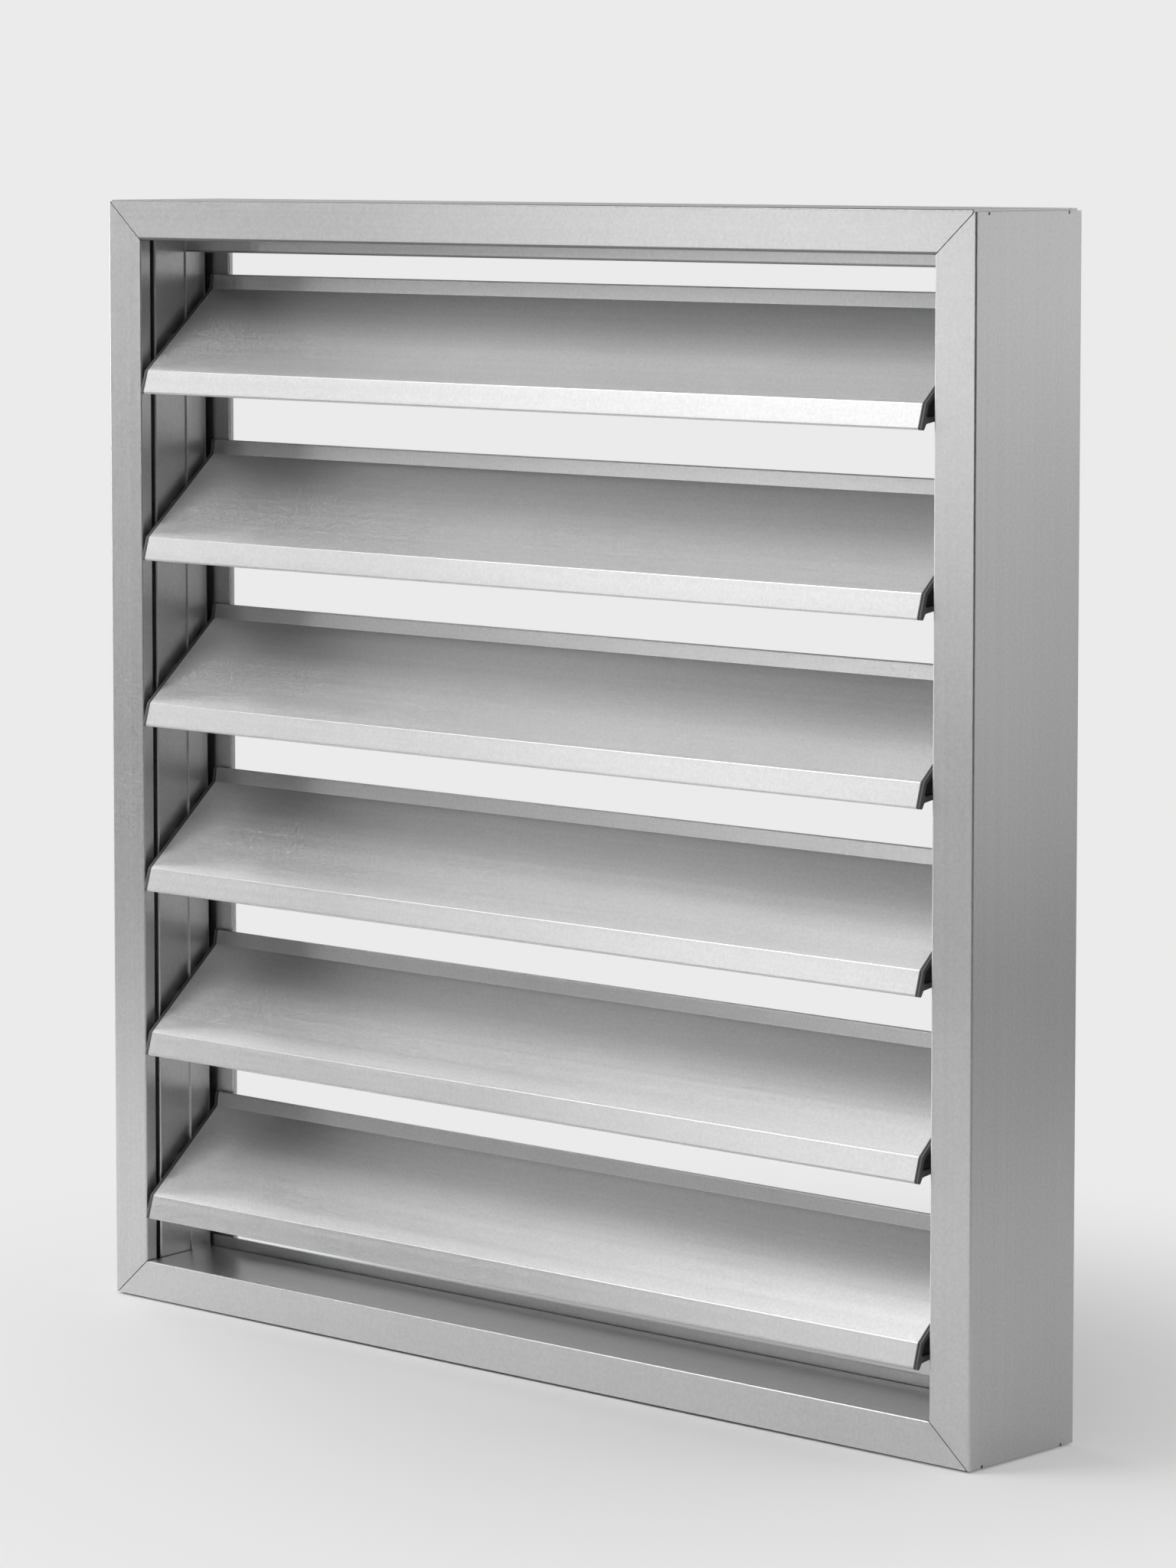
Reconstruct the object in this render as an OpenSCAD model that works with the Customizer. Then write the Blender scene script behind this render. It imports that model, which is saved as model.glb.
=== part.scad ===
// Fixed louvre grille of extruded aluminium, in millimetres.
// A mitred frame of four extrusions, keyed at the corners by hidden cleats, holds six sloped
// weather blades. Each blade end carries a moulded cap whose two spigots sit in the side member.
// The front faces -Y and +Z is up. The origin is at the middle of the footprint.
// Sections are drawn with v as the depth behind the frame's front face.

/* [Frame] */
// Overall width
frame_w = 600; // [420:1:1000]
// Overall height
frame_h = 600; // [540:1:800]
// Depth from the front face to the rear edge
frame_d = 80; // [70:0.5:120]
// Width of the side members' front face
stile_face = 25; // [22:0.5:40]
// Height of the rails' front face
rail_face = 21.5; // [18:0.5:36]
// Wall thickness of the frame's extrusions
wall = 2; // [1.4:0.1:2.6]
// Rounding of the frame's long front edges
edge_r = 1; // [0.3:0.1:1.2]
// Open seam left between mitred ends, measured up the frame
mitre_gap = 0.6; // [0.1:0.05:1]
// Height of the shadow gap along the frame's lower edge and at the side members' ends
reveal_h = 1.1; // [0.6:0.1:1.4]
// Depth of that gap
reveal_d = 2.6; // [1.2:0.1:3.4]
// Width of the relief nicks at the ends of the outer walls
nick_w = 1.4; // [0.5:0.1:2]
// Height of the relief nicks
nick_h = 1.5; // [0.8:0.1:2]
// Distance of the relief nicks from the outer wall's front and rear edges
nick_edge = 9.5; // [6:0.5:14]

/* [Side member section] */
// Depth of the return behind the front face
return_d = 7.4; // [5:0.1:9]
// Width of the slot behind that return
slot_w = 3.2; // [2.6:0.1:6]
// Depth at which the inner wall steps inward
step_v = 32.6; // [29:0.1:34]
// Height of that step
step_h = 1; // [0.6:0.1:2]
// Rounding of the inner wall's rear edge
heel_r = 3; // [0.5:0.1:4]
// Width of the slot in front of the rear fin
rear_slot = 3.2; // [2.8:0.1:6]
// Thickness of the rear fin
fin_t = 3.4; // [2.4:0.1:5]
// Depth by which the fin's root is set back behind its front face
fin_setback = 1.6; // [0.4:0.1:1.8]
// Reach of the rear fin past the front face's inner edge
fin_reach = 14.7; // [8:0.1:18]
// Space between the front spigot and the web in front of it
web_gap = 2; // [1:0.1:4]

/* [Rail sections] */
// Drop of the top rail's lip below its front face
lip_drop = 6.8; // [3:0.1:12]
// Rise of the sill's floor from front to rear
sill_rise = 1.6; // [0.5:0.1:4]
// Height of the sill's rear upstand above the floor
upstand_h = 6; // [3:0.1:12]
// Width of the groove at the foot of the upstand
groove_w = 1.2; // [0.6:0.1:2]
// Depth of that groove
groove_d = 0.9; // [0.4:0.1:1.5]

/* [Blades] */
// Thickness of the blade's section
blade_t = 2; // [1.4:0.1:2.6]
// Reach of the blade's nose in front of the frame
nose_reach = 4; // [1:0.1:8]
// Run of the nose from its tip back to the pan
nose_run = 3.5; // [1:0.1:6]
// Height of the nose
nose_h = 12.2; // [9:0.1:16]
// Run of the sloped pan
pan_run = 48; // [43:0.1:52]
// Rise of the sloped pan
pan_rise = 43; // [36:0.1:46]
// Run of the rear upstand
tail_run = 1.2; // [0:0.1:3]
// Rise of the rear upstand
tail_rise = 8; // [4:0.1:12]
// Inside radius of the blade's two bends
bend_r = 0.5; // [0.3:0.1:1.5]
// Outside radius of those bends
crease_r = 1; // [0.5:0.1:2.5]
// Gap between a blade's end and the side member
end_gap = 6.5; // [5:0.1:10]
// Gap between the sill's upstand and the lowest blade
sill_clear = 17.1; // [8:0.1:30]
// Gap between the highest blade and the top rail's lip
head_clear = 12.3; // [6:0.1:24]
// Gap between the blades and the rear fin
fin_clear = 1.4; // [1:0.1:4]
// Wall thickness of the screw ports
port_t = 1.8; // [1.2:0.1:2.4]
// Width of the ports' open side
port_slot = 1.8; // [1:0.1:2.2]
// Place of the front port along the pan
port_s = 13; // [9:0.5:15]

/* [End caps] */
// Thickness of the cap's rim
cap_t = 2.4; // [2:0.1:3]
// Width of the cap's rim
rim_w = 2; // [1.2:0.1:2.4]
// Depth of the panel inside the rim
panel_d = 1.4; // [0.3:0.1:1.6]
// Depth of the cap below the pan's upper face
band_d = 14.3; // [13:0.1:17]
// Place along the pan where the cap's lower edge turns
knee_s = 4.2; // [1:0.1:8]
// Run of the cap's toe behind the nose's tip
toe_run = 1.8; // [0.6:0.1:3]
// Rise of the cap's toe above the nose's tip
toe_rise = 3.1; // [2:0.1:5]
// Radius of the collars that seat on the side member
collar_r = 5; // [4.4:0.1:5.4]
// Distance of the collars from the inner wall's step
collar_gap = 2; // [1:0.1:2.6]
// Depth of the collars' centres below the pan's upper face
collar_d = 7; // [6.5:0.1:8]
// Radius of the spigots
spigot_r = 3; // [2:0.1:3.6]
// Length of a spigot inside the side member's wall
spigot_past = 2.4; // [1:0.1:4]

/* [Cap screws] */
// Radius of the screw's shank
shank_r = 1.65; // [1.2:0.05:2]
// Length of the shank
shank_l = 14; // [8:0.5:25]
// Radius of the head
head_r = 3.2; // [2.6:0.1:3.4]
// Height of the head
head_h = 2; // [1:0.1:2.4]

/* [Corner cleats] */
// Length of a cleat's legs from the frame's outer corner
cleat_leg = 52; // [42:1:56]
// Wall thickness of the cleats
cleat_t = 3.5; // [2:0.1:5]

/* [Fits] */
// Clearance between parts that slide together
fit = 0.15; // [0.05:0.05:0.3]

/* [Hidden] */
blade_count = 6;
arc_steps = 5;
eps = 1;

half_w = frame_w / 2;
front_y = (nose_reach - frame_d) / 2;
blade_end = half_w - stile_face - end_gap;
seam = mitre_gap / 2;
mitre_slope = rail_face / stile_face;

function unit(p) = p / norm(p);

// Unit vector to the right of the way from a to b
function right_of(a, b) = unit([b.y - a.y, a.x - b.x]);

// Open path moved to its right by d, its corners kept sharp
function beside(path, d) =
  let (last = len(path) - 1)
  [for (i = [0:last])
    let (
      before = right_of(path[max(i - 1, 0)], path[max(i, 1)]),
      after = right_of(path[min(i, last - 1)], path[min(i + 1, last)])
    )
    path[i] + (before + after) * d / (1 + before * after)];

// Closed path moved to its right by d
function inside(path, d) =
  let (n = len(path))
  [for (i = [0:n - 1])
    let (
      before = right_of(path[(i + n - 1) % n], path[i]),
      after = right_of(path[i], path[(i + 1) % n])
    )
    path[i] + (before + after) * d / (1 + before * after)];

// Points of the arc of radius r that rounds corner b of the path a, b, c
function corner_arc(a, b, c, r) =
  let (
    to_a = unit(a - b),
    to_c = unit(c - b),
    half = acos(to_a * to_c) / 2,
    centre = b + unit(to_a + to_c) * r / sin(half),
    first = b + to_a * r / tan(half) - centre,
    last = b + to_c * r / tan(half) - centre,
    start = atan2(first.y, first.x),
    sweep = (atan2(last.y, last.x) - start + 540) % 360 - 180
  )
  [for (i = [0:arc_steps])
    let (turn = start + sweep * i / arc_steps)
    centre + r * [cos(turn), sin(turn)]];

// Closed outline from corners given as [x, y] or, where rounded, as [x, y, radius]
function outline(corners) =
  let (n = len(corners), at = [for (c = corners) [c.x, c.y]])
  [for (i = [0:n - 1]) each len(corners[i]) > 2
    ? corner_arc(at[(i + n - 1) % n], at[i], at[(i + 1) % n], corners[i].z)
    : [at[i]]];

// Blade section: the path of its upper face from the nose's tip to the top of the tail
tip = [0, 0];
nose = tip + [nose_run, nose_h];
bend = nose + [pan_run, pan_rise];
tail = bend + [tail_run, tail_rise];
upper = [tip, nose, bend, tail];
lower = beside(upper, blade_t);
round_r = blade_t * 0.48;
blade_edge = outline([
  [upper[0].x, upper[0].y, round_r],
  [upper[1].x, upper[1].y, crease_r],
  [upper[2].x, upper[2].y, bend_r],
  [upper[3].x, upper[3].y, round_r],
  [lower[3].x, lower[3].y, round_r],
  [lower[2].x, lower[2].y, crease_r],
  [lower[1].x, lower[1].y, bend_r],
  [lower[0].x, lower[0].y, round_r]
]);
pan_way = unit(bend - nose);
pan_down = right_of(nose, bend);

// Point at distance s along the pan and depth d below its upper face
function under_pan(s, d) = nose + s * pan_way + d * pan_down;

// Distance along the pan of a point at depth d that lies y behind the tip
function pan_s(y, d) = (y - nose.x - d * pan_down.x) / pan_way.x;

// Place of the blade path's start, so that the rounded nose reaches as far as is asked
blade_v = -nose_reach - min([for (p = blade_edge) p.x]);
blade_low = min([for (p = blade_edge) p.y]);
blade_top = max([for (p = blade_edge) p.y]);

// Depths that the frame's sections take from the blades and from each other
slot_v = return_d + slot_w;
collar_v = [step_v - collar_gap - collar_r, step_v + collar_gap + collar_r];
least_v = collar_v[1] + spigot_r + fit + wall;
blade_rear = blade_v + max([for (p = blade_edge) p.x]);
fin_v = max(blade_rear + fin_clear, least_v + wall + 4 * fit);
inner_v = max(fin_v - rear_slot, least_v);
chamber_v = [collar_v[0] - spigot_r - web_gap, inner_v - wall];
upstand_v = inner_v + 2 * fit;
fin_u = stile_face + fin_reach;
step_u = stile_face + step_h;
land_u = step_u + 2 * fit;

// Heights that set out the blades evenly between the sill and the top rail
upstand_z = rail_face + sill_rise + upstand_h;
first_z = upstand_z + sill_clear - blade_low;
last_z = frame_h - rail_face - lip_drop - head_clear - blade_top;
pitch = (last_z - first_z) / (blade_count - 1);

function tip_z(i) = first_z + (i - 1) * pitch;

// Screw ports and collars in the blade's section, from the tip
port_r = shank_r + fit;
port_d = blade_t + port_r + port_t / 2;
collars = [for (v = collar_v) under_pan(pan_s(v - blade_v, collar_d), collar_d)];
rear_port_s = (pan_s(collars[0].x, collar_d) + pan_s(collars[1].x, collar_d)) / 2;
ports = [under_pan(port_s, port_d), under_pan(rear_port_s, port_d)];
collar_u = [stile_face, step_u];

// Extrudes a section drawn as [depth, height] along X, centred
module along_x(length) {
  translate([-length / 2, front_y, 0])
    rotate([90, 0, 90])
      linear_extrude(length)
        children();
}

// Extrudes an outline drawn as [x, z] through the depths from v0 to v1
module through_depth(v0, v1) {
  translate([0, front_y + v1, 0])
    rotate([90, 0, 0])
      linear_extrude(v1 - v0)
        children();
}

module mirror_if(flip, way) {
  if (flip) {
    mirror(way) children();
  } else {
    children();
  }
}

// Side member's section as [distance in from the outer face, depth]
module stile_section() {
  difference() {
    polygon(outline([
      [0, 0, edge_r],
      [0, frame_d],
      [wall, frame_d],
      [wall, fin_v + fin_t],
      [fin_u, fin_v + fin_t, edge_r],
      [fin_u, fin_v, edge_r],
      [land_u, fin_v, edge_r / 2],
      [land_u, fin_v + fin_setback],
      [wall, fin_v + fin_setback],
      [wall, inner_v],
      [step_u, inner_v, heel_r],
      [step_u, step_v, edge_r / 4],
      [stile_face, step_v],
      [stile_face, slot_v, edge_r],
      [stile_face - wall, slot_v],
      [stile_face - wall, chamber_v[0] - wall],
      [wall, chamber_v[0] - wall],
      [wall, wall],
      [stile_face - wall, wall],
      [stile_face - wall, return_d],
      [stile_face, return_d, edge_r / 2],
      [stile_face, 0, edge_r]
    ]));
    polygon([
      [wall, chamber_v[0]],
      [stile_face - wall, chamber_v[0]],
      [stile_face - wall, step_v + wall],
      [step_u - wall, step_v + wall],
      [step_u - wall, chamber_v[1]],
      [wall, chamber_v[1]]
    ]);
  }
}

// Left side member: mitred at the face, square behind it, drilled for the spigots
module stile() {
  past = fin_u + eps;
  difference() {
    intersection() {
      translate([-half_w, front_y, 0])
        linear_extrude(frame_h)
          stile_section();
      through_depth(-eps, frame_d + eps)
        translate([-half_w, 0])
          polygon([
            [0, reveal_h],
            [(reveal_h - seam) / mitre_slope, reveal_h],
            [stile_face, rail_face + seam],
            [past, rail_face + seam],
            [past, frame_h - rail_face - seam],
            [stile_face, frame_h - rail_face - seam],
            [(reveal_h - seam) / mitre_slope, frame_h - reveal_h],
            [0, frame_h - reveal_h]
          ]);
    }
    for (i = [1:blade_count], k = [0, 1])
      translate([collar_u[k] - half_w - 2 * wall, front_y + collar_v[k], tip_z(i) + collars[k].y])
        rotate([0, 90, 0])
          cylinder(r = spigot_r + fit, h = 3 * wall);
    for (v = [nick_edge, frame_d - nick_edge], z = [0, frame_h - nick_h - reveal_h])
      translate([-half_w - eps, front_y + v - nick_w / 2, z])
        cube([wall + eps, nick_w, nick_h + reveal_h]);
  }
}

module left_stile() {
  color([0.72, 0.73, 0.74]) stile();
}

module right_stile() {
  color([0.72, 0.73, 0.74]) mirror([1, 0, 0]) stile();
}

// Cuts a rail's ends: mitred at the face, square where it meets the side members' inner walls
module rail_ends() {
  foot_z = reveal_d * mitre_slope - seam;
  inset = step_u + fit;
  intersection() {
    children();
    through_depth(-eps, frame_d + eps)
      polygon([
        [reveal_d - half_w, 0],
        [half_w - reveal_d, 0],
        [half_w - reveal_d, foot_z],
        [half_w - stile_face, rail_face - seam],
        [half_w - inset, rail_face - seam],
        [half_w - inset, frame_h / 2],
        [inset - half_w, frame_h / 2],
        [inset - half_w, rail_face - seam],
        [stile_face - half_w, rail_face - seam],
        [reveal_d - half_w, foot_z]
      ]);
  }
}

// Sill's section as [depth, height]: the floor rises to a grooved rear upstand
module sill_section() {
  floor_z = rail_face + sill_rise;
  slope = sill_rise / upstand_v;
  under_z = floor_z - groove_d - wall;
  difference() {
    polygon(outline([
      [0, reveal_h, edge_r / 3],
      [reveal_d, reveal_h],
      [reveal_d, 0],
      [frame_d, 0],
      [frame_d, wall],
      [inner_v, wall],
      [inner_v, under_z],
      [upstand_v + wall, under_z],
      [upstand_v + wall, upstand_z, edge_r / 2],
      [upstand_v, upstand_z, edge_r / 2],
      [upstand_v, floor_z - groove_d],
      [upstand_v - groove_w, floor_z - groove_d],
      [upstand_v - groove_w, floor_z - groove_w * slope],
      [0, rail_face, edge_r]
    ]));
    polygon([
      [wall, wall],
      [chamber_v[0] - wall, wall],
      [chamber_v[0] - wall, rail_face - wall],
      [wall, rail_face - wall]
    ]);
    polygon([
      [chamber_v[0], wall],
      [chamber_v[1], wall],
      [chamber_v[1], rail_face - wall],
      [chamber_v[0], rail_face - wall]
    ]);
  }
}

module bottom_rail() {
  color([0.7, 0.71, 0.72])
    rail_ends()
      along_x(frame_w)
        sill_section();
}

// Top rail's section as [depth, distance down from the top]: a lip hangs from its soffit
module head_section() {
  lip = rail_face + lip_drop;
  difference() {
    polygon(outline([
      [0, 0, edge_r],
      [frame_d, 0],
      [frame_d, wall],
      [fin_v + fin_t, wall],
      [fin_v + fin_t, rail_face, edge_r],
      [fin_v, rail_face, edge_r],
      [fin_v, wall],
      [inner_v, wall],
      [inner_v, rail_face],
      [step_v + wall, rail_face],
      [step_v + wall, lip, edge_r / 2],
      [step_v, lip, edge_r / 2],
      [step_v, rail_face],
      [0, rail_face, edge_r]
    ]));
    translate([wall, wall])
      square([chamber_v[0] - 2 * wall, rail_face - 2 * wall]);
    translate([chamber_v[0], wall])
      square([chamber_v[1] - chamber_v[0], rail_face - 2 * wall]);
  }
}

module top_rail() {
  color([0.76, 0.77, 0.78])
    translate([0, 0, frame_h])
      mirror([0, 0, 1])
        rail_ends()
          along_x(frame_w)
            head_section();
}

// Cored angle that keys one corner, seated on the outer walls inside both chambers
module corner_cleat(right, top) {
  in_u = min(stile_face - wall, (rail_face - wall + seam) / mitre_slope) - fit;
  in_z = min(rail_face - wall, (stile_face - wall) * mitre_slope + seam) - fit;
  lead = 1.5;
  color([0.6, 0.61, 0.62])
    translate([0, 0, top ? frame_h : 0])
      mirror_if(top, [0, 0, 1])
        mirror_if(right, [1, 0, 0])
          through_depth(chamber_v[0] + fit, chamber_v[1] - fit)
            translate([-half_w, 0])
              difference() {
                polygon(outline([
                  [wall, wall, lead],
                  [cleat_leg, wall, lead],
                  [cleat_leg, in_z, lead],
                  [in_u, in_z],
                  [in_u, cleat_leg, lead],
                  [wall, cleat_leg, lead]
                ]));
                translate([in_u, wall + cleat_t])
                  square([cleat_leg - cleat_t - in_u, in_z - wall - 2 * cleat_t]);
                translate([wall + cleat_t, in_z])
                  square([in_u - wall - 2 * cleat_t, cleat_leg - cleat_t - in_z]);
                translate([wall + cleat_t, wall + cleat_t])
                  square([in_u - wall - 2 * cleat_t, in_z - wall - 2 * cleat_t]);
              }
}

// One blade: a bent strip with two open screw ports below the pan
module blade(i) {
  length = 2 * blade_end;
  color([0.74, 0.75, 0.76])
    translate([0, blade_v, tip_z(i)])
      difference() {
        union() {
          along_x(length)
            polygon(blade_edge);
          for (p = ports)
            along_x(length)
              translate(p)
                circle(r = port_r + port_t);
        }
        for (p = ports) {
          along_x(length + 2 * eps)
            translate(p)
              circle(r = port_r);
          along_x(length + 2 * eps)
            translate(p)
              rotate(atan2(pan_down.y, pan_down.x))
                translate([0, -port_slot / 2])
                  square([port_r + port_t + eps, port_slot]);
        }
      }
}

// Moulded cap on a right-hand blade end: rimmed plate, two collars and two spigots
module end_cap(i) {
  sink = cap_t - panel_d;
  rear_x = lower[2].x;
  rear_low = under_pan(pan_s(rear_x, band_d), band_d);
  knee = under_pan(knee_s, band_d);
  toe = lower[0] + [toe_run, toe_rise];
  heel = tip + (nose - tip) * toe_rise / nose_h;
  panel = inside([heel, nose, bend, rear_low, knee], rim_w);
  translate([blade_end, front_y + blade_v, tip_z(i)]) {
    difference() {
      rotate([90, 0, 90])
        linear_extrude(cap_t)
          polygon(outline([
            [tip.x, tip.y, round_r],
            [nose.x, nose.y, crease_r],
            [bend.x, bend.y, bend_r],
            [tail.x, tail.y, round_r],
            [lower[3].x, lower[3].y, round_r],
            [lower[2].x, lower[2].y],
            [rear_low.x, rear_low.y, 2 * rim_w],
            [knee.x, knee.y, 2 * rim_w],
            [toe.x, toe.y, rim_w / 2],
            [lower[0].x, lower[0].y, round_r]
          ]));
      translate([sink, 0, 0])
        rotate([90, 0, 90])
          linear_extrude(cap_t)
            polygon(outline([for (p = panel) [p.x, p.y, rim_w / 2]]));
      for (p = ports)
        translate([0, p.x, p.y])
          rotate([0, 90, 0]) {
            translate([0, 0, -eps])
              cylinder(r = shank_r + 2 * fit, h = cap_t + 2 * eps);
            translate([0, 0, sink])
              cylinder(r = head_r + 2 * fit, h = cap_t);
          }
    }
    for (k = [0, 1])
      translate([0, collars[k].x, collars[k].y])
        rotate([0, 90, 0]) {
          cylinder(r = collar_r, h = half_w - collar_u[k] - blade_end);
          cylinder(r = spigot_r, h = half_w - collar_u[k] - blade_end + wall + spigot_past);
        }
  }
}

module left_end_cap(i) {
  color([0.2, 0.2, 0.21]) mirror([1, 0, 0]) end_cap(i);
}

module right_end_cap(i) {
  color([0.2, 0.2, 0.21]) end_cap(i);
}

// Screws through every right-hand cap into the blades' ports
module cap_screws() {
  for (i = [1:blade_count], p = ports)
    translate([blade_end + cap_t - panel_d, front_y + blade_v + p.x, tip_z(i) + p.y])
      rotate([0, 90, 0]) {
        cylinder(r1 = head_r, r2 = head_r * 0.8, h = head_h);
        translate([0, 0, -shank_l])
          cylinder(r = shank_r, h = shank_l + head_h / 2);
      }
}

module left_cap_screws() {
  color([0.55, 0.56, 0.57]) mirror([1, 0, 0]) cap_screws();
}

module right_cap_screws() {
  color([0.55, 0.56, 0.57]) cap_screws();
}

left_stile();
right_stile();
top_rail();
bottom_rail();
corner_cleat(false, false);  // corner_cleat_bottom_left
corner_cleat(true, false);  // corner_cleat_bottom_right
corner_cleat(false, true);  // corner_cleat_top_left
corner_cleat(true, true);  // corner_cleat_top_right
for (i = [1:blade_count]) {
  blade(i);
  left_end_cap(i);
  right_end_cap(i);
}
left_cap_screws();
right_cap_screws();
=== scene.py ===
import math

import bpy
from mathutils import Matrix, Vector


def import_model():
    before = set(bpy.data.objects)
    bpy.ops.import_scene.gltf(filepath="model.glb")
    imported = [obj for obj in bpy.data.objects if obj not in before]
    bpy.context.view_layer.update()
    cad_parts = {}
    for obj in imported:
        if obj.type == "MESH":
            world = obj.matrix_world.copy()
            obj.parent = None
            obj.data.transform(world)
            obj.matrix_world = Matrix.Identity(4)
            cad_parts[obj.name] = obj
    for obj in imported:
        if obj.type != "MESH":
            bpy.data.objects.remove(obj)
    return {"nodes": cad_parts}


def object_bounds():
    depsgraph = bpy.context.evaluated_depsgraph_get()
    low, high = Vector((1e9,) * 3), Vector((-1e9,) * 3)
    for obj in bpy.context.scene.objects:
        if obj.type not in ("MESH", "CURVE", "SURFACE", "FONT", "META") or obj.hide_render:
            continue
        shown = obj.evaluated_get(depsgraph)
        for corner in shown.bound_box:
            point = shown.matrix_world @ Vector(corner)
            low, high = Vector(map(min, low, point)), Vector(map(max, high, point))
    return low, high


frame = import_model()
cad_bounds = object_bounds()

X, Y, Z = 0, 1, 2
NEUTRAL = (1.0, 1.0, 1.0)

# Places on the frame, in metres
MIDDLE = (Vector(cad_bounds[0]) + Vector(cad_bounds[1])) / 2
RAIL_TOP = cad_bounds[1][Z]
HEAD_LOW = RAIL_TOP - 0.0210
LIP_TOP = RAIL_TOP - 0.0215
LIP_LOW = RAIL_TOP - 0.0283
FACE_Y = min(corner[Y] for corner in frame["nodes"]["right_stile"].bound_box)
PANEL_X = 0.2695

# Brightness of the backdrop: for the lens, and as metal mirrors it at azimuths and overhead
PALE = 0.83
FLOOR_RING = {180: 0.92}
WALL_RING = {90: 0.92, 135: 0.73, 180: 0.3}
RING_STEP = math.radians(45.0)
OVERHEAD = 0.5

# Half the floor's width, and how far the lamps stand from the middle of the grille
FLOOR_HALF = 60.0
FAR, NEAR = 2.4, 1.3

# The lens, and where the camera stands and looks
LENS_MM, SENSOR_MM, SHIFT_DOWN = 124.875, 36.0, 0.125
CAMERA_AT = (1.89209, -2.02894, 0.63381)
CAMERA_TURN, CAMERA_TILT = math.radians(42.7265), math.radians(4.7406)


class Sock:
    """A shader socket that arithmetic can be written with."""

    def __init__(self, tree, out):
        self.tree, self.out = tree, out

    def node(self, kind, inputs=None, output=0, **settings):
        """Adds any node: inputs by name or index, as values or sockets."""
        made = self.tree.nodes.new(kind)
        for key, value in settings.items():
            setattr(made, key, value)
        for key, value in (inputs or {}).items():
            if isinstance(value, Sock):
                self.tree.links.new(value.out, made.inputs[key])
            else:
                made.inputs[key].default_value = value
        return Sock(self.tree, made.outputs[output])

    def math(self, operation, *values):
        """One step of arithmetic on sockets and numbers."""
        return self.node("ShaderNodeMath", dict(enumerate(values)), operation=operation)

    def __add__(self, other):
        return self.math("ADD", self, other)

    def __radd__(self, other):
        return self.math("ADD", other, self)

    def __sub__(self, other):
        return self.math("SUBTRACT", self, other)

    def __rsub__(self, other):
        return self.math("SUBTRACT", other, self)

    def __mul__(self, other):
        return self.math("MULTIPLY", self, other)

    def __rmul__(self, other):
        return self.math("MULTIPLY", other, self)

    def __truediv__(self, other):
        return self.math("DIVIDE", self, other)

    def __rtruediv__(self, other):
        return self.math("DIVIDE", other, self)

    def axis(self, which):
        """One coordinate of a place or a direction."""
        return self.node("ShaderNodeSeparateXYZ", {0: self}, output=which)

    def clamp(self, low=0.0, high=1.0):
        return self.math("MINIMUM", self.math("MAXIMUM", self, low), high)

    def ramp(self, start, end):
        """Smoothly from 0 at start to 1 at end."""
        values = {"Value": self, "From Min": start, "From Max": end}
        return self.node("ShaderNodeMapRange", values, interpolation_type="SMOOTHSTEP")

    def noise(self, scale, detail=2.0, stretch=(1, 1, 1)):
        """Noise around 0, from about -0.5 to 0.5; self is the coordinate."""
        at = self.node("ShaderNodeMapping", {"Vector": self, "Scale": stretch})
        made = at.node("ShaderNodeTexNoise", {"Vector": at, "Scale": scale, "Detail": detail})
        return made - 0.5

    def grey(self, tint):
        """This value as a colour with a faint tint."""
        parts = {i: self * t for i, t in enumerate(tint)}
        return self.node("ShaderNodeCombineColor", parts)

    def bump(self, strength, distance):
        """This value as a relief of the surface."""
        values = {"Strength": strength, "Distance": distance, "Height": self}
        return self.node("ShaderNodeBump", values)


def material(name, **constants):
    """A new material: its object coordinates and its surface shader."""
    made = bpy.data.materials.new(name)
    made.use_nodes = True
    shader = made.node_tree.nodes["Principled BSDF"]
    for key, value in constants.items():
        shader.inputs[key.replace("_", " ")].default_value = value
    coords = made.node_tree.nodes.new("ShaderNodeTexCoord")
    return made, Sock(made.node_tree, coords.outputs["Object"]), shader


def feed(shader, **sockets):
    """Links varying values to the shader's inputs."""
    for key, value in sockets.items():
        value.tree.links.new(value.out, shader.inputs[key.replace("_", " ")])


def satin_aluminium(name, along, base, rough, matte, lines=None):
    """Satin anodised extrusion: blasted grain with matte grit, faint lines along its length, and
    painted shade where lines is given.
    """
    made, at, shader = material(name, Metallic=1.0)
    fine, broad = [420.0] * 3, [85.0] * 3
    fine[along], broad[along] = 1.2, 0.5
    streak = at.noise(1.0, 3.0, fine)
    band = at.noise(1.0, 2.0, broad)
    grain = at.noise(620.0, 4.0)
    grit = at.noise(2600.0, 1.0).ramp(matte, matte + 0.08)
    cloud = at.noise(9.0, 3.0)
    tone = base * (1.0 + 0.1 * streak + 0.06 * band + 0.26 * grain + 0.05 * cloud)
    # Where given, the lines function multiplies painted shade and painted shadow into the tone.
    if lines:
        tone = tone * lines(at)
    feed(
        shader,
        Base_Color=tone.grey((0.998, 1.0, 1.0)),
        Roughness=rough + 0.28 * grit + 0.05 * streak + 0.06 * grain + 0.04 * cloud,
        Normal=(grain + 0.25 * streak).bump(0.35, 0.00006),
    )
    return made


def painted_foot_shadow(at):
    """Painted shadow: a dark line along the edges that stand on the floor, where the floor's
    contact shade falls.
    """
    return 1.0 - 0.65 * (1.0 - at.axis(Z).ramp(0.0007, 0.0014))


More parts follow.
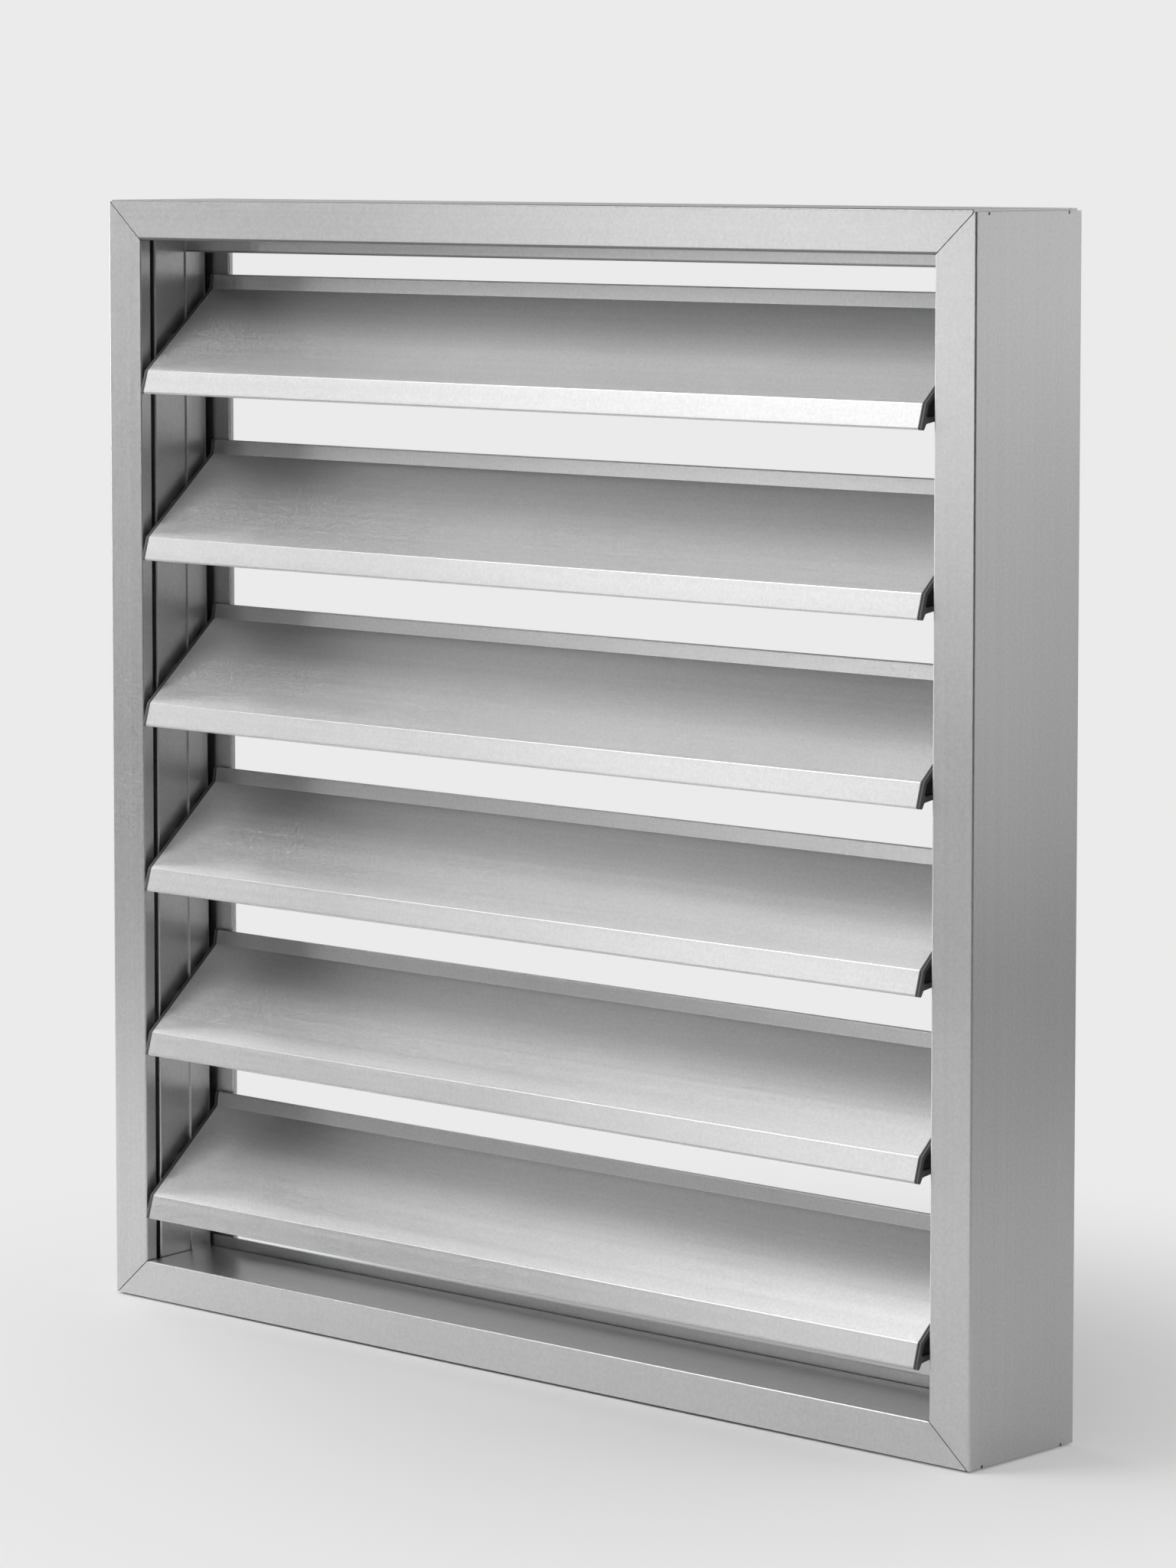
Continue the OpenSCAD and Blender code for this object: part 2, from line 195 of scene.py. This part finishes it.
def rail_painted_shade(at):
    """Painted shade on the top rail: dark lines at its front edges' roundings, a darker lip behind
    them and a darker line at the lip's foot, plus the painted foot shadow.
    """
    height = at.axis(Z)
    front = 1.0 - at.axis(Y).ramp(FACE_Y + 0.0012, FACE_Y + 0.0018)
    low = 1.0 - at.math("ABSOLUTE", height - HEAD_LOW).ramp(0.0007, 0.0013)
    high = height.ramp(RAIL_TOP - 0.0011, RAIL_TOP - 0.0006)
    upper_rail = height.ramp(MIDDLE[Z], MIDDLE[Z] + 0.01)
    lip = upper_rail * (1.0 - height.ramp(LIP_TOP - 0.0007, LIP_TOP))
    rim = lip * (1.0 - height.ramp(LIP_LOW + 0.0008, LIP_LOW + 0.0014))
    # Painted shade along the rail's top and bottom front edges, and painted shadow on the lip and
    # at its lower edge.
    edges = (0.65 * low + 0.55 * high) * front
    return (1.0 - edges - 0.15 * lip - 0.45 * rim) * painted_foot_shadow(at)


def cap_plastic():
    """Moulded dark plastic: its own dark grey on the rim and edges, with the sunk panel painted
    near-black as the shade inside the recess.
    """
    made, at, shader = material("cap_plastic", IOR=1.46)
    grain = at.noise(2600.0, 2.0)
    cloud = at.noise(60.0, 2.0)
    across = at.math("ABSOLUTE", at.axis(X))
    outside_recess = at.math("ABSOLUTE", across - PANEL_X).ramp(0.0002, 0.0005)
    # Painted shade: the sunk panel's face is near-black; outside the recess the plastic keeps its
    # own grey.
    tone = (0.02 + 0.1 * outside_recess) * (1.0 + 0.35 * grain + 0.2 * cloud)
    feed(
        shader,
        Base_Color=tone.grey((1.0, 1.0, 1.02)),
        Roughness=0.52 + 0.15 * grain + 0.1 * cloud,
        Normal=grain.bump(0.4, 0.00005),
    )
    return made


def screw_steel():
    """Plain screw steel with a fine grain."""
    made, at, shader = material("screw_steel", Metallic=1.0)
    grain = at.noise(1800.0, 3.0)
    tone = 0.5 * (1.0 + 0.2 * grain)
    feed(
        shader,
        Base_Color=tone.grey(NEUTRAL),
        Roughness=0.38 + 0.2 * grain,
        Normal=grain.bump(0.3, 0.00004),
    )
    return made


# The stiles' colour carries the painted foot shadow; the rails' colour carries the painted rail
# shade and the foot shadow.
upright = satin_aluminium("frame_aluminium_upright", Z, 0.7, 0.32, 0.03, painted_foot_shadow)
level = satin_aluminium("frame_aluminium_level", X, 0.7, 0.32, 0.03, rail_painted_shade)
finishes = {
    "stile": upright,
    "rail": level,
    "cleat": satin_aluminium("cleat_aluminium", Y, 0.6, 0.4, 0.0),
    "blade_": satin_aluminium("blade_aluminium", X, 0.7, 0.32, 0.04),
    "end_cap": cap_plastic(),
    "screws": screw_steel(),
}
for name, node in frame["nodes"].items():
    finish = next(made for part, made in finishes.items() if part in name)
    node.data.materials.clear()
    node.data.materials.append(finish)


def seen_rays(tree):
    """Two switches: rays of the lens, and rays of glossy metal and of glass."""
    path = tree.nodes.new("ShaderNodeLightPath")
    camera, glossy, glass = (
        Sock(tree, path.outputs[name])
        for name in ("Is Camera Ray", "Is Glossy Ray", "Is Transmission Ray")
    )
    return camera, (glossy + glass).clamp()


def toward(way, azimuth):
    """Cosine between a level direction and an azimuth: 0 is the front, 90 the left."""
    level_way = way.node("ShaderNodeVectorMath", {0: way, 1: (1, 1, 0)}, operation="MULTIPLY")
    unit = way.node("ShaderNodeVectorMath", {0: level_way}, operation="NORMALIZE")
    turn = math.radians(azimuth)
    aim = (-math.sin(turn), -math.cos(turn), 0.0)
    return way.node("ShaderNodeVectorMath", {0: unit, 1: aim}, output=1, operation="DOT_PRODUCT")


def ring(way, levels):
    """Brightness all round the horizon, straight between the levels given at azimuths."""
    total = 0.0
    for azimuth, level in levels.items():
        angle = way.math("ARCCOSINE", toward(way, azimuth).clamp(-1.0, 1.0))
        total = total + level * (1.0 - angle / RING_STEP).clamp()
    return total


def floor_material():
    """Near the object the floor is lit and shaded; farther off it fades into the backdrop."""
    made, at, shader = material("floor", Roughness=0.9)
    tree = made.node_tree
    cloud = at.noise(3.0, 2.0)
    tone = 0.9 * (1.0 + 0.01 * cloud)
    feed(shader, Base_Color=tone.grey(NEUTRAL))
    camera, metal_or_glass = seen_rays(tree)
    reach = at.node("ShaderNodeVectorMath", {0: at}, output=1, operation="LENGTH")
    away = camera * reach.ramp(0.12, 0.62) + metal_or_glass * reach.ramp(0.7, 1.8)
    metal = ring(at, FLOOR_RING)
    seen = metal + camera * (PALE - metal)
    glow = at.node("ShaderNodeEmission", {"Color": seen.grey(NEUTRAL)})
    mixed = at.node("ShaderNodeMixShader", {0: away.clamp(), 2: glow})
    tree.links.new(shader.outputs[0], mixed.out.node.inputs[1])
    tree.links.new(mixed.out, tree.nodes["Material Output"].inputs["Surface"])
    return made


floor_mesh = bpy.data.meshes.new("floor")
corners = [(FLOOR_HALF * x, FLOOR_HALF * y, 0.0) for x, y in ((-1, -1), (1, -1), (1, 1), (-1, 1))]
floor_mesh.from_pydata(corners, [], [(0, 1, 2, 3)])
floor = bpy.data.objects.new("floor", floor_mesh)
bpy.context.scene.collection.objects.link(floor)
floor_mesh.materials.append(floor_material())


def lamp(name, azimuth, height, size, watts, reach=FAR):
    """A square soft box aimed at the grille from an azimuth and an elevation."""
    turn, rise = math.radians(azimuth), math.radians(height)
    out = math.cos(rise)
    way = Vector((-math.sin(turn) * out, -math.cos(turn) * out, math.sin(rise)))
    data = bpy.data.lights.new(name, "AREA")
    data.size, data.energy = size, watts
    made = bpy.data.objects.new(name, data)
    made.location = MIDDLE + reach * way
    made.rotation_euler = way.to_track_quat("Z", "Y").to_euler()
    bpy.context.scene.collection.objects.link(made)


lamp("key", 40, 36, 1.0, 6.2)
lamp("key_high", 40, 50, 1.2, 19.2)
lamp("left_low", 75, 8, 1.3, 15.4)
lamp("left", 100, 30, 1.3, 10.1)
lamp("right", -90, 40, 2.4, 13.9)
lamp("front_near", 24, 6, 0.4, 0.64, NEAR)
lamp("front", 2, 6, 0.4, 0.35, NEAR)
lamp("front_left_near", 35, 15, 0.4, 0.65, NEAR)
lamp("back_right_low", -122, 5, 0.6, 0.75, NEAR)
lamp("back_right", -142, 20, 0.6, 0.56, NEAR)


def world():
    """The backdrop above the floor: pale for the lens, with bright parts that metal mirrors."""
    made = bpy.data.worlds.new("studio")
    bpy.context.scene.world = made
    made.use_nodes = True
    tree = made.node_tree
    camera, _ = seen_rays(tree)
    way = Sock(tree, tree.nodes.new("ShaderNodeTexCoord").outputs["Generated"])
    up = way.axis(Z)
    metal = ring(way, WALL_RING) * (1.0 - up.ramp(0.2, 0.5)) + OVERHEAD * up.ramp(0.7, 0.9)
    tone = metal + camera * (PALE - metal)
    tree.links.new(tone.grey(NEUTRAL).out, tree.nodes["Background"].inputs["Color"])


world()

# The lens axis of the photograph lies above the picture's middle, so the frame is shifted down
camera_data = bpy.data.cameras.new("camera")
camera_data.sensor_width = SENSOR_MM
camera_data.lens = LENS_MM
camera_data.shift_y = -SHIFT_DOWN
camera_data.clip_start, camera_data.clip_end = 0.05, 200.0
camera = bpy.data.objects.new("camera", camera_data)
bpy.context.scene.collection.objects.link(camera)
level_out = math.cos(CAMERA_TILT)
ahead = Vector(
    (-math.sin(CAMERA_TURN) * level_out, math.cos(CAMERA_TURN) * level_out, -math.sin(CAMERA_TILT))
)
right = Vector((math.cos(CAMERA_TURN), math.sin(CAMERA_TURN), 0.0))
axes = Matrix((right, right.cross(ahead), -ahead)).transposed().to_4x4()
camera.matrix_world = Matrix.Translation(CAMERA_AT) @ axes
bpy.context.scene.camera = camera
bpy.context.scene.view_settings.view_transform = "Standard"
